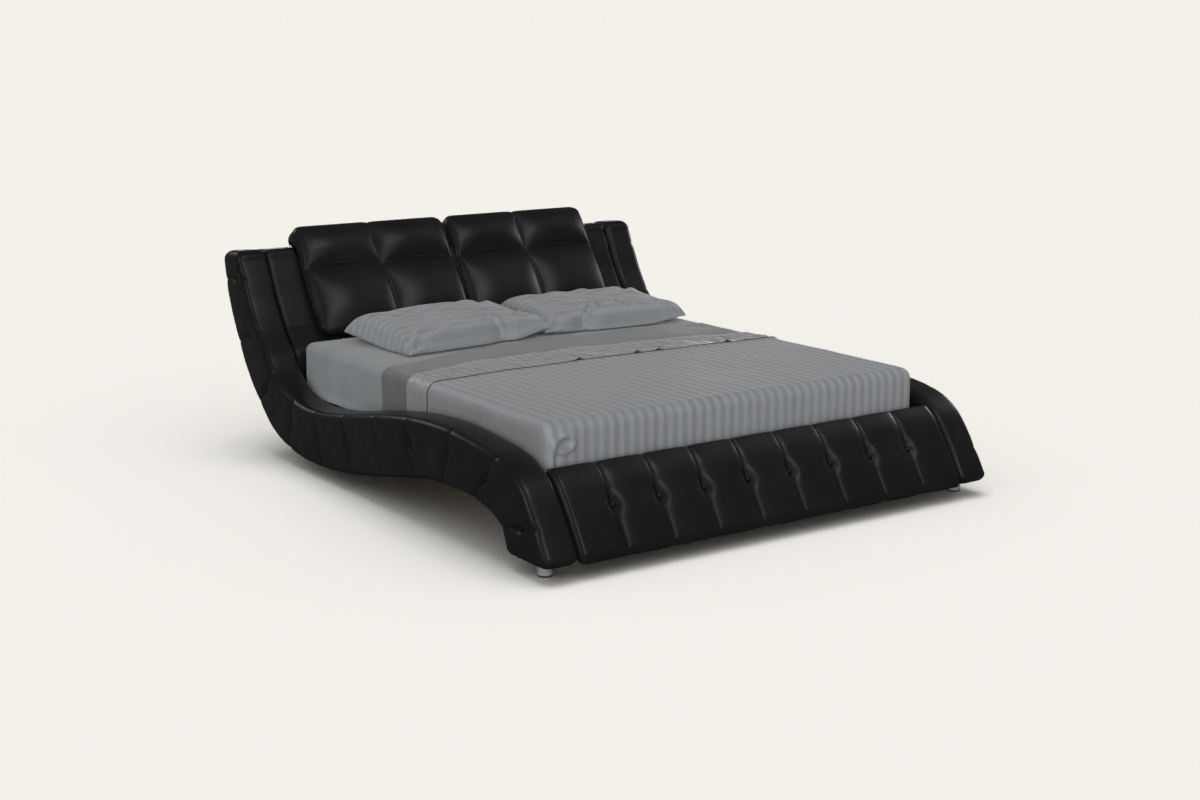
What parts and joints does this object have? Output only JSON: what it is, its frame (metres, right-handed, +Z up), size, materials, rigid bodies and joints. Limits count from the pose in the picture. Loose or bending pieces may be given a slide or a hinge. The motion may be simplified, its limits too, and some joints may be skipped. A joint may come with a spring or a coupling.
{
  "type": "sleigh bed",
  "caption": "Low sleigh bed with curved padded leather side bands, a tufted foot panel, tilting headrests, a slatted base and a made-up mattress.",
  "frame": {"origin": "on the floor, under the centre of the bed's overall box", "axes": "+Z up, +Y towards the headboard, +X to the right of someone looking from the foot to the head"},
  "size_m": [2.17, 2.711, 0.9785],
  "materials": {
    "black_leather": "satin",
    "foam": "matte",
    "plywood": "matte",
    "timber": "matte",
    "beech": "satin",
    "black_steel": "satin",
    "zinc_steel": "satin",
    "foot_metal": "satin",
    "black_plastic": "matte",
    "mattress_ticking": "matte",
    "plain_sheet": "matte",
    "dark_sheet": "matte",
    "striped_cotton": "satin",
    "pillow_filling": "matte"
  },
  "bodies": {
    "bed_frame": {"left_band_boards": "plywood", "right_band_boards": "plywood", "left_band_blocks": "timber", "right_band_blocks": "timber", "left_band_foam": "foam", "right_band_foam": "foam", "left_band_cover": "black_leather", "right_band_cover": "black_leather", "left_band_buttons": "black_leather", "right_band_buttons": "black_leather", "headboard_ribs": "plywood", "headboard_rails": "timber", "headboard_panel": "plywood", "headboard_foam": "foam", "headboard_cover": "black_leather", "headboard_screws": "zinc_steel", "foot_panel_board": "plywood", "foot_panel_foam": "foam", "foot_panel_cover": "black_leather", "foot_panel_buttons": "black_leather", "panel_cleats": "timber", "foot_rail": "timber", "head_rail": "timber", "corner_brackets": "black_steel", "corner_bolts": "zinc_steel", "left_ledger": "black_steel", "right_ledger": "black_steel", "ledger_screws": "zinc_steel", "centre_beam": "black_steel", "beam_hangers": "zinc_steel", "centre_legs": "black_steel", "left_slats": "beech", "right_slats": "beech", "slat_holders": "black_plastic", "front_feet": "foot_metal", "rear_legs": "foot_metal", "floor_pads": "black_plastic", "left_hinge_bases": "zinc_steel", "right_hinge_bases": "zinc_steel", "hinge_screws": "zinc_steel"},
    "left_headrest": {"left_headrest_board": "plywood", "left_headrest_foam": "foam", "left_headrest_cover": "black_leather", "left_hinge_arms": "zinc_steel", "left_hinge_pins": "zinc_steel"},
    "right_headrest": {"right_headrest_board": "plywood", "right_headrest_foam": "foam", "right_headrest_cover": "black_leather", "right_hinge_arms": "zinc_steel", "right_hinge_pins": "zinc_steel"},
    "mattress_set": {"mattress": "mattress_ticking", "fitted_sheet": "plain_sheet", "flat_sheet": "dark_sheet", "turned_border": "striped_cotton", "blanket": "striped_cotton"},
    "left_pillow": {"left_pillow_insert": "pillow_filling", "left_pillow_case": "striped_cotton"},
    "right_pillow": {"right_pillow_insert": "pillow_filling", "right_pillow_case": "striped_cotton"}
  },
  "joints": [
    {"name": "left_headrest_tilt", "type": "hinge", "parent": "bed_frame", "child": "left_headrest", "pos_m": [-0.401, 0.96031, 0.52889], "axis": [1, 0, 0], "range_deg": [0, 25]},
    {"name": "right_headrest_tilt", "type": "hinge", "parent": "bed_frame", "child": "right_headrest", "pos_m": [0.401, 0.96031, 0.52889], "axis": [1, 0, 0], "range_deg": [0, 25]},
    {"name": "mattress_lift", "type": "slide", "parent": "bed_frame", "child": "mattress_set", "axis": [0, 0, 1], "range_m": [0, 0.6]},
    {"name": "left_pillow_lift", "type": "slide", "parent": "mattress_set", "child": "left_pillow", "axis": [0, 0, 1], "range_m": [0, 0.5]},
    {"name": "right_pillow_lift", "type": "slide", "parent": "mattress_set", "child": "right_pillow", "axis": [0, 0, 1], "range_m": [0, 0.5]}
  ]
}
